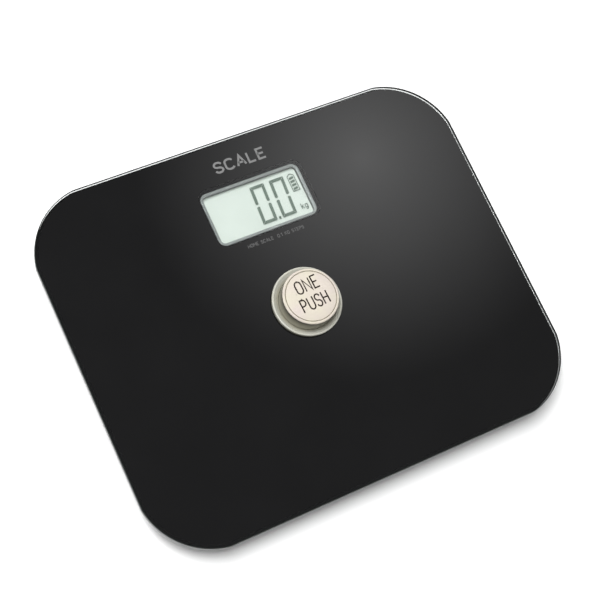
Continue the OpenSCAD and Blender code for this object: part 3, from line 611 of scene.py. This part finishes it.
def write(shape, text, x0, x1, baseline, height, stroke, z0, z1, turn=0.0):
    """Strokes of a line of text that fills x0 to x1, turned about its own middle."""
    gaps = len(text) - 1
    natural = sum(GLYPHS[c][0] for c in text)
    inner = x1 - x0 - stroke
    wide = min(WIDEST, inner / ((natural + LETTER_GAP * gaps) * height))
    step = (inner - natural * height * wide) / max(1, gaps)
    middle = Vector(((x0 + x1) / 2, baseline + height / 2))
    c, s = math.cos(math.radians(turn)), math.sin(math.radians(turn))
    x = x0 + stroke / 2
    for letter in text:
        width, strokes = GLYPHS[letter]
        for line in strokes:
            meets = (Vector(line[0]) - Vector(line[-1])).length < TINY
            closed = meets or letter in ROUND_LETTERS
            points = line[:-1] if meets else line
            placed = []
            for px, py in points:
                p = Vector((x + px * height * wide, baseline + stroke / 2 + py * (height - stroke))) - middle
                placed.append((middle.x + p.x * c - p.y * s, middle.y + p.x * s + p.y * c))
            shape.ribbon(placed, stroke, z0, z1, closed)
        x += width * height * wide + step


def digit_zero(shape, x, y, width, height, thick, slant, z0, z1):
    """Six of the seven bars of a display digit, mitred where they meet. slant is its lean to the right."""
    gap, mid, t = 0.22, height / 2, thick
    w, h = width, height
    top = [(gap, h), (w - gap, h), (w - t - gap * 0.4, h - t), (t + gap * 0.4, h - t)]
    upper = [(0, h - gap), (t, h - t - gap), (t, mid + 0.5 * t), (0.55 * t, mid + 0.32 * t),
             (0, mid + 0.55 * t)]
    bars = [top, upper,
            [(w - px, py) for px, py in reversed(upper)],
            [(px, h - py) for px, py in reversed(top)],
            [(px, h - py) for px, py in reversed(upper)],
            [(w - px, h - py) for px, py in upper]]
    for bar in bars:
        shape.prism([[(x + px + slant * (y + py - DISPLAY_Y), y + py) for px, py in bar]], z0, z1)


def charge_icon(shape, x, y, width, height, z0, z1):
    """Upright cell outline with a pointed top and four level bars."""
    line, point, tip, head = 0.55, 1.5, 0.6, 0.6
    side, foot, bar_gap, rise = 0.75, 0.75, 1.05, 0.5
    shape.ribbon([(x, y), (x + width, y), (x + width, y + height - point),
                  (x + width / 2 + tip, y + height), (x + width / 2 - tip, y + height),
                  (x, y + height - point)], line, z0, z1, True)
    bars = 4
    pitch = (height - point - head) / bars
    for k in range(bars):
        low = y + foot + pitch * k
        high = low + pitch - bar_gap
        shape.prism([[(x + side, low), (x + width - side, low + rise), (x + width - side, high + rise),
                      (x + side, high)]], z0, z1)


# ------------------------------------------------------------------ glass and its print

# The pencil-ground rounding of the glass's edge: how far each ring lies below the face, and inside.
EDGE = [(0.0, 0.75), (0.07, 0.46), (0.22, 0.22), (0.46, 0.07), (0.75, 0.0)]

# Widths in mm: of the rim that stays clear, of the glass past its print, and round the display.
CLEAR_RIM = 2.6
PRINT_INSET = 0.8
CLEAR_ROUND_WINDOW = 1.8
LCD_W, LCD_D = LCD_HIGH[0] - LCD_LOW[0], LCD_HIGH[1] - LCD_LOW[1]
WINDOW_W, WINDOW_D, WINDOW_R = LCD_W + 1.5, LCD_D + 0.8, 5.5


def build_glass():
    """Slab with pencil-ground edges outside and a plain bore for the button.

    Its top is three level fields: a clear rim, a black-backed field and the display window.
    Its ground edge is dark, since the black back shows through it."""
    shape = Shape()
    base = len(glass_outline(0))
    steps, ease = 128, 0.4

    def outside(inset, z):
        return [(x, y, z) for x, y in glass_outline(inset)]

    shape.loft([outside(CLEAR_RIM, GLASS_TOP)]
               + [outside(inset, GLASS_TOP - drop) for drop, inset in EDGE]
               + [outside(inset, GLASS_BACK + drop) for drop, inset in reversed(EDGE)])
    shape.mark(2, base, (len(EDGE) + 1) * base)
    hole_low = circle(GLASS_BORE + ease, GLASS_BACK, steps)
    hole_high = circle(GLASS_BORE + ease, GLASS_TOP, steps)
    shape.loft([hole_low, circle(GLASS_BORE, GLASS_BACK + ease, steps),
                circle(GLASS_BORE, GLASS_TOP - ease, steps), hole_high])
    shape.sheet([outside(EDGE[0][1], GLASS_BACK), hole_low])
    clear = CLEAR_ROUND_WINDOW
    window = [(x, y, GLASS_TOP) for x, y in
              round_rect(DISPLAY_X, DISPLAY_Y, WINDOW_W + 2 * clear, WINDOW_D + 2 * clear, WINDOW_R + clear)]
    first = len(shape.faces)
    shape.sheet([outside(CLEAR_RIM, GLASS_TOP), window, hole_high])
    shape.mark(1, first, len(shape.faces))
    shape.faces.append(tuple(shape.add(window)))
    glass = shape.build("glass_slab", GLASS, "platform", 32, [BLACK_GLASS, GROUND_EDGE])
    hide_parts("glass_platform")


PRINT_TOP = GLASS_BACK + 0.02
WINDOW = round_rect(DISPLAY_X, DISPLAY_Y, WINDOW_W, WINDOW_D, WINDOW_R)


def build_print():
    """The black layer behind the glass, and the grey wording that shows against it."""
    shape = Shape()
    bore = arc(0, 0, PRINT_BORE, PRINT_BORE, 0, 360, 96)[:-1]
    shape.prism([glass_outline(PRINT_INSET), list(reversed(WINDOW)), list(reversed(bore))],
                FILM_BACK, PRINT_TOP)
    film = shape.build("back_print", PRINT, "platform")
    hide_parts("print_film")
    x, y = DISPLAY_X, DISPLAY_Y
    low, high = GLASS_TOP - 0.03, GLASS_TOP + 0.01
    for name, words, left, right, baseline, height, stroke, material in (
            ("wording_print", "SCALE", x - 20.1, x + 19.4, y + 29.2, 8.9, 1.5, WORDING),
            ("caption_print", "HOME SCALE  0.1 KG STEPS", x - 21.6, x + 21.7, y - 28.0, 2.6, 0.42, FAINT)):
        line = Shape()
        write(line, words, left, right, baseline, height, stroke, low, high)
        line.build(name, material, "platform")


# ------------------------------------------------------------------ display


def build_display():
    """Silver frame with an inner wall painted dark as shade, the panel in it and the panel's dark segments.
    """
    opening_w, opening_d, opening_r = WINDOW_W - 4.2, WINDOW_D - 4.2, 3.0
    rim_w = WINDOW_W + 10
    top = FILM_BACK - 0.02
    shape = Shape()

    def ring(grow, z):
        w, d = opening_w + 2 * grow, opening_d + 2 * grow
        return [(x, y, z) for x, y in round_rect(DISPLAY_X, DISPLAY_Y, w, d, max(0.4, opening_r + grow))]

    edge = (rim_w - opening_w) / 2
    shape.loft([ring(0, LCD_HIGH[2] + 0.02), ring(0, top - 0.75), ring(0.1, top - 0.42),
                ring(0.34, top - 0.16), ring(0.62, top - 0.05), ring(1.0, top - 0.03),
                ring(1.1, top - 0.1), ring(1.25, top - 0.1), ring(1.35, top), ring(edge, top),
                ring(edge, top - 1.2), ring(3.0, top - 1.2), ring(3.0, FRAME_LOW[2] + 0.4),
                ring(1.4, FRAME_LOW[2] + 0.4), ring(1.4, LCD_HIGH[2] + 0.02)], closed=True)
    # The inner wall takes the dark grey painted shade.
    shape.mark(1, 0, len(ring(0, 0)))
    rim = shape.build("display_rim", SILVER, "platform", 30, [FRAME_WALL_PAINTED_SHADE])
    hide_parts("display_bezel")

    face = LCD_HIGH[2] - 0.7
    panel = Shape()
    panel.prism([round_rect(DISPLAY_X, DISPLAY_Y, LCD_W, LCD_D, 0.6, 4)], LCD_LOW[2], face)
    lcd = panel.build("display_panel", LCD_FACE, "platform")
    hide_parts("lcd_panel")

    z0, z1 = LCD_HIGH[2] - 0.12, LCD_HIGH[2] - 0.06
    digits = Shape()
    slant = math.tan(math.radians(3.4))
    x, y = DISPLAY_X, DISPLAY_Y
    foot, point = y - 14.0, x + 10.4
    for left in (x - 1.1, x + 14.1):
        digit_zero(digits, left, foot, 11.0, 28.5, 2.2, slant, z0, z1)
    dot = [(point, foot), (point + 1.7, foot), (point + 1.75, foot + 1.9), (point + 0.1, foot + 1.9)]
    digits.prism([dot], z0, z1)
    charge_icon(digits, x + 28.7, y + 1.3, 5.0, 12.8, z0, z1)
    write(digits, "kg", x + 28.9, x + 34.0, y - 13.0, 4.6, 0.52, z0, z1)
    digits.build("display_digits", SEGMENT, "platform")


# ------------------------------------------------------------------ button


def build_cap():
    """Hollow round cap with a ring groove near its edge, three lugs under its skirt and a legend."""
    top = CAP_TOP - 0.03
    roof = CAP_TOP - 2.0
    inner = CAP_R - 1.6
    line = 17.8
    profile = [(0, top), (10, top), (line - 0.4, top), (line - 0.26, top - 0.06), (line - 0.18, top - 0.3),
               (line + 0.18, top - 0.3), (line + 0.26, top - 0.06), (line + 0.4, top)]
    profile += [(r, z) for r, z in arc(CAP_R - 1, top - 1, 1, 1, 90, 0, 7)]
    profile += [(CAP_R, CAP_LOW + 0.25), (CAP_R - 0.25, CAP_LOW), (inner + 0.2, CAP_LOW),
                (inner, CAP_LOW + 0.2), (inner, roof), (0, roof)]
    shape = Shape()
    steps = 160
    shape.lathe(profile, steps)
    wall = [k for k, (r, z) in enumerate(profile) if r > CAP_R - 0.02][0]
    groove_first, groove_last = 2, 6
    # The cap's side wall takes the plating with painted shade, darker toward its top.
    shape.mark(1, steps * wall, steps * (wall + 2))
    # The ring groove takes the darker pearl, painted shade in the crease.
    shape.mark(2, steps * groove_first, steps * groove_last)
    lug_root, lug_half_angle, lug_height = CAP_R - 0.5, 6, 1.4
    for a in (90, 210, 330):
        sector = arc(0, 0, LUG_R, LUG_R, a - lug_half_angle, a + lug_half_angle, 4)
        sector += arc(0, 0, lug_root, lug_root, a + lug_half_angle, a - lug_half_angle, 4)
        shape.prism([sector], CAP_LOW, CAP_LOW + lug_height)
    cap = shape.build("button_cap_shell", CAP, "button", 28, [PAINTED_SHADE_WALL, GROOVE_PAINTED_SHADE])
    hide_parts("button_cap")
    legend = Shape()
    for word, x0, x1, baseline in (("ONE", -8.2, 9.2, 3.4), ("PUSH", -9.7, 11.3, -9.4)):
        write(legend, word, x0, x1, baseline, 9.8, 1.0, CAP_TOP - 0.035, CAP_TOP - 0.005, 2.5)
    legend.build("button_legend", LEGEND, "button")


def build_bezel():
    """Dished flange on the glass, with a fine groove near its rim and a sleeve down through the glass."""
    outer = BEZEL_R
    z = GLASS_TOP
    crest = BEZEL_TOP
    lip = z + 1.2
    profile = [(LIP_R, lip - 0.3), (LIP_R + 0.05, lip - 0.05)]
    start, end = LIP_R + 0.2, outer - 1.3
    profile += [(start + (end - start) * t / 12, crest - (crest - lip) * math.cos(math.radians(7.5 * t)))
                for t in range(12)]
    profile += [(end, crest - 0.08), (end + 0.06, crest - 0.24), (end + 0.16, crest - 0.24),
                (end + 0.22, crest - 0.04)]
    profile += arc(outer - 1.0, crest - 1.0, 1.0, 1.0, 90, 0, 8)
    profile += [(outer, z + 0.3), (outer - 0.3, z), (SLEEVE_R, z), (SLEEVE_R, BEZEL_LOW + 0.2),
                (SLEEVE_R - 0.2, BEZEL_LOW), (SLEEVE_BORE + 0.15, BEZEL_LOW),
                (SLEEVE_BORE, BEZEL_LOW + 0.2), (SLEEVE_BORE, z + 0.7), (LIP_R, z + 0.7)]
    shape = Shape()
    shape.lathe(profile, 192)
    # Its dish shows the trim's painted shade, darker low down near the cap.
    ring = shape.build("button_surround", TRIM, "platform", 30)
    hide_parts("button_bezel")


def build_spring():
    """Round wire coil between its seat and the plunger."""
    wire, turns, sides, per_turn = 0.6, 4.5, 12, 40
    mean = SPRING_HIGH[0] - wire
    low, high = SPRING_LOW[2] + wire, SPRING_HIGH[2] - wire
    shape = Shape()
    count = int(turns * per_turn)
    rings = []
    for i in range(count + 1):
        t = 2 * math.pi * i / per_turn
        rings.append([((mean + wire * math.cos(b)) * math.cos(t), -(mean + wire * math.cos(b)) * math.sin(t),
                       low + (high - low) * i / count + wire * math.sin(b))
                      for b in [2 * math.pi * k / sides for k in range(sides)]])
    ids = shape.loft(rings)
    shape.faces += [tuple(ids[0]), tuple(reversed(ids[-1]))]
    coil = shape.build("return_coil", SPRING, "platform", 50)
    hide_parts("return_spring")
    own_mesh(coil)


# ------------------------------------------------------------------ carried-over CAD nodes


def finish_nodes():
    """Gives every CAD node that still shows its own material."""
    dark = moulded("dark_plastic", srgb(40, 41, 43), 0.5)
    tray = moulded("tray_plastic", srgb(34, 35, 37), 0.48, 0.025)
    rubber = moulded("pad_rubber", srgb(30, 30, 30), 0.75, 0.04, 0.1)
    silicone = moulded("gasket_rubber", srgb(26, 26, 27), 0.6, 0.02, 0.08)
    nylon = moulded("nylon", srgb(232, 230, 222), 0.42, 0.01, 0.03, Subsurface_Weight=0.1)
    acetal = moulded("acetal", srgb(236, 236, 232), 0.32, 0.006, 0.02)
    zinc = brushed("zinc_steel", srgb(178, 182, 188), 0.32)
    bright = turned("bright_steel", srgb(204, 206, 210), 0.2)
    cell = brushed("cell_steel", srgb(186, 188, 190), 0.34, (40, 1, 40))
    iron = brushed("soft_iron", srgb(128, 130, 134), 0.45)
    brass = turned("brass", srgb(206, 170, 96), 0.28)
    magnet = turned("magnet", srgb(118, 120, 124), 0.3, 0.9)
    copper = winding("copper_winding", srgb(196, 104, 58))
    green = circuit()
    resin = moulded("black_resin", srgb(18, 18, 19), 0.34, 0.015, 0.1)
    sleeve = moulded("capacitor_sleeve", srgb(32, 44, 74), 0.28, 0.006, 0.05, Coat_Weight=0.4)
    diode = moulded("diode_glass", srgb(196, 92, 48), 0.14, 0.003, 0.1, Coat_Weight=0.6)
    strip = moulded("silicone_strip", srgb(206, 190, 196), 0.6, 0.01)
    mirror = brushed("reflector", srgb(222, 226, 224), 0.4)
    red = moulded("lead_cover", srgb(166, 34, 28), 0.45, 0.006, 0.08)
    enamel = moulded("enamelled_lead", srgb(170, 92, 44), 0.3, 0.004, 0.08, Coat_Weight=0.4)
    label = moulded("label_stock", srgb(196, 198, 198), 0.5, 0.006, 0.03)
    tape = foam()
    finishes = {
        "lcd_reflector": mirror, "zebra_strips": strip, "main_board": green, "processor_blob": resin,
        "converter_chip": resin, "storage_capacitor": sleeve, "rectifier_diodes": diode,
        "board_connectors": nylon, "board_screws": zinc, "bezel_gasket": silicone, "bezel_nut": dark,
        "base_tray": tray, "tray_tape": tape, "glass_pads": tape, "housing_screws": zinc,
        "cell_leads": red, "generator_base": nylon, "spring_seat": dark, "stator_yoke": iron,
        "coil_bobbin": nylon, "coil_winding": copper, "coil_leads": enamel,
        "generator_screws": zinc, "rating_label": label, "switch_body": dark, "button_plunger": acetal,
        "plunger_screws": zinc, "drive_gear": acetal, "drive_axle": bright, "idler_gear": acetal,
        "idler_axle": bright, "rotor_pinion": brass, "rotor_magnet": magnet, "rotor_shaft": bright,
        "switch_knob": nylon,
    }
    for corner in ("fl", "fr", "bl", "br"):
        finishes["foot_housing_" + corner] = dark
        finishes["foot_cup_" + corner] = dark
        finishes["foot_pad_" + corner] = rubber
        finishes["load_cell_" + corner] = cell
    for name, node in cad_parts.items():
        if node.hide_render:
            continue
        node.data.materials.clear()
        node.data.materials.append(finishes[name])
        node.data.shade_smooth()
        node.data.set_sharp_from_angle(angle=math.radians(30))


# ------------------------------------------------------------------ floor, light and camera


# Strengths: of the room as fill, of its ceiling in reflections, and of the card at its middle.
FILL = 0.4
OVERHEAD = 0.3
CARD = 2.2
FLOOR_HALF = 6.0


def build_key():
    """Oval soft box, high on the left, that faces straight down."""
    data = bpy.data.lights.new("key", "AREA")
    data.shape = "ELLIPSE"
    data.size, data.size_y = 0.8, 1.8
    data.energy = 76
    key = bpy.data.objects.new("key", data)
    SCENE.collection.objects.link(key)
    key.location = (-0.66, 0.5, 2.2)
    key.visible_glossy = False


def build_world():
    """Even white room: full for the eye, softer as fill, darker overhead for what mirrors it."""
    world = bpy.data.worlds.new("studio")
    SCENE.world = world
    world.use_nodes = True
    tree = world.node_tree
    tree.nodes.clear()
    out = tree.nodes.new("ShaderNodeOutputWorld")
    path = tree.nodes.new("ShaderNodeLightPath")
    strengths = {}
    for name, strength in (("seen", 1.0), ("fill", FILL)):
        strengths[name] = tree.nodes.new("ShaderNodeBackground")
        strengths[name].inputs["Strength"].default_value = strength
    strengths["seen"].inputs["Color"].default_value = (1, 1, 1, 1)
    coords = tree.nodes.new("ShaderNodeTexCoord")
    split = tree.nodes.new("ShaderNodeSeparateXYZ")
    tree.links.new(coords.outputs["Generated"], split.inputs[0])
    climb = tree.nodes.new("ShaderNodeMapRange")
    climb.interpolation_type = "SMOOTHSTEP"
    climb.inputs["From Min"].default_value = 0.1
    climb.inputs["From Max"].default_value = 0.6
    climb.inputs["To Min"].default_value = 0.8
    climb.inputs["To Max"].default_value = OVERHEAD
    tree.links.new(split.outputs["Z"], climb.inputs["Value"])
    mirrored = tree.nodes.new("ShaderNodeBackground")
    tree.links.new(climb.outputs["Result"], mirrored.inputs["Strength"])
    first = tree.nodes.new("ShaderNodeMixShader")
    tree.links.new(path.outputs["Is Glossy Ray"], first.inputs["Fac"])
    tree.links.new(strengths["fill"].outputs[0], first.inputs[1])
    tree.links.new(mirrored.outputs[0], first.inputs[2])
    second = tree.nodes.new("ShaderNodeMixShader")
    tree.links.new(path.outputs["Is Camera Ray"], second.inputs["Fac"])
    tree.links.new(first.outputs[0], second.inputs[1])
    tree.links.new(strengths["seen"].outputs[0], second.inputs[2])
    tree.links.new(second.outputs[0], out.inputs["Surface"])


def build_floor():
    """White floor that the eye sees as evenly lit, however far off it lies."""
    h = FLOOR_HALF
    mesh = bpy.data.meshes.new("floor")
    mesh.from_pydata([(-h, -h, 0), (h, -h, 0), (h, h, 0), (-h, h, 0)], [], [(0, 1, 2, 3)])
    f = Finish("floor_white", 0.9, Specular_IOR_Level=0.0)
    f.colour(f.ramp(f.noise(2, 2), (0.3, (0.93, 0.93, 0.93, 1)), (0.7, (0.94, 0.94, 0.94, 1))))
    near, far = 0.45, 1.6
    reach = f.node("ShaderNodeVectorMath", operation="LENGTH")
    f.link(f.coords, reach.inputs[0])
    seen = f.node("ShaderNodeMath", operation="MULTIPLY")
    f.link(f.spread(reach.outputs["Value"], 0.0, 1.0, near, far), seen.inputs[0])
    f.link(f.node("ShaderNodeLightPath").outputs["Is Camera Ray"], seen.inputs[1])
    f.bsdf.inputs["Emission Color"].default_value = (1, 1, 1, 1)
    f.link(seen.outputs[0], f.bsdf.inputs["Emission Strength"])
    mesh.materials.append(f.mat)
    floor = bpy.data.objects.new("floor", mesh)
    SCENE.collection.objects.link(floor)


def build_sky_card():
    """Round soft card that only reflections see: bright in its middle, fading to its edge.

    The glass mirrors its middle at glint, to the right of the display."""
    glint = Vector((0.0844, 0.0833, 0.026))
    way = Vector((0.4, 0.26, 0.879)).normalized()
    centre = glint + way * 1.7
    radius, rings, steps = 0.43, 24, 96
    verts, faces = [(0, 0, 0)], []
    for k in range(1, rings + 1):
        verts += circle(radius * k / rings, 0, steps)
    for s in range(steps):
        faces.append((0, 1 + s, 1 + (s + 1) % steps))
        for k in range(1, rings):
            a, b = 1 + (k - 1) * steps, 1 + k * steps
            faces.append((a + s, b + s, b + (s + 1) % steps, a + (s + 1) % steps))
    mesh = bpy.data.meshes.new("sky_card")
    mesh.from_pydata(verts, [], faces)
    mat = bpy.data.materials.new("sky_card")
    mat.use_nodes = True
    tree = mat.node_tree
    tree.nodes.clear()
    out = tree.nodes.new("ShaderNodeOutputMaterial")
    coords = tree.nodes.new("ShaderNodeTexCoord")
    length = tree.nodes.new("ShaderNodeVectorMath")
    length.operation = "LENGTH"
    tree.links.new(coords.outputs["Object"], length.inputs[0])
    fall = tree.nodes.new("ShaderNodeMapRange")
    fall.inputs["From Min"].default_value = 0.0
    fall.inputs["From Max"].default_value = radius
    fall.inputs["To Min"].default_value = 1.0
    fall.inputs["To Max"].default_value = 0.0
    tree.links.new(length.outputs["Value"], fall.inputs["Value"])
    curve = tree.nodes.new("ShaderNodeMath")
    curve.operation = "POWER"
    curve.inputs[1].default_value = 1.4
    tree.links.new(fall.outputs["Result"], curve.inputs[0])
    level = tree.nodes.new("ShaderNodeMath")
    level.operation = "MULTIPLY"
    level.inputs[1].default_value = CARD
    tree.links.new(curve.outputs[0], level.inputs[0])
    emit = tree.nodes.new("ShaderNodeEmission")
    tree.links.new(level.outputs[0], emit.inputs["Strength"])
    clear = tree.nodes.new("ShaderNodeBsdfTransparent")
    both = tree.nodes.new("ShaderNodeAddShader")
    tree.links.new(emit.outputs[0], both.inputs[0])
    tree.links.new(clear.outputs[0], both.inputs[1])
    tree.links.new(both.outputs[0], out.inputs["Surface"])
    mesh.materials.append(mat)
    card = bpy.data.objects.new("sky_card", mesh)
    SCENE.collection.objects.link(card)
    card.location = centre
    card.rotation_mode = "QUATERNION"
    card.rotation_quaternion = (-way).to_track_quat("Z", "Y")
    card.visible_camera = False
    card.visible_diffuse = False
    card.visible_shadow = False
    card.visible_transmission = False


def build_camera():
    """Looks steeply down on the glass from its front left, with the object turned in the frame."""
    elevation, heading, roll = (math.radians(a) for a in (67.4, 30.2, 36.46))
    aim, distance = Vector((-0.0034, 0.0031, 0.026)), 1.0025
    back = Vector((-math.cos(elevation) * math.cos(heading), -math.cos(elevation) * math.sin(heading),
                   math.sin(elevation)))
    level_right = Vector((0, 0, 1)).cross(back).normalized()
    level_up = back.cross(level_right)
    right = math.cos(roll) * level_right + math.sin(roll) * level_up
    up = back.cross(right)
    data = bpy.data.cameras.new("camera")
    data.sensor_width = 36.0
    data.lens = 88.55
    data.clip_start, data.clip_end = 0.01, 50.0
    camera = bpy.data.objects.new("camera", data)
    SCENE.collection.objects.link(camera)
    turn = Matrix((right, up, back)).transposed().to_4x4()
    camera.matrix_world = Matrix.Translation(aim + back * distance) @ turn
    SCENE.camera = camera


SCENE.view_settings.view_transform = "Standard"
build_glass()
build_print()
build_display()
build_cap()
build_bezel()
build_spring()
finish_nodes()
build_world()
build_floor()
build_sky_card()
build_key()
build_camera()
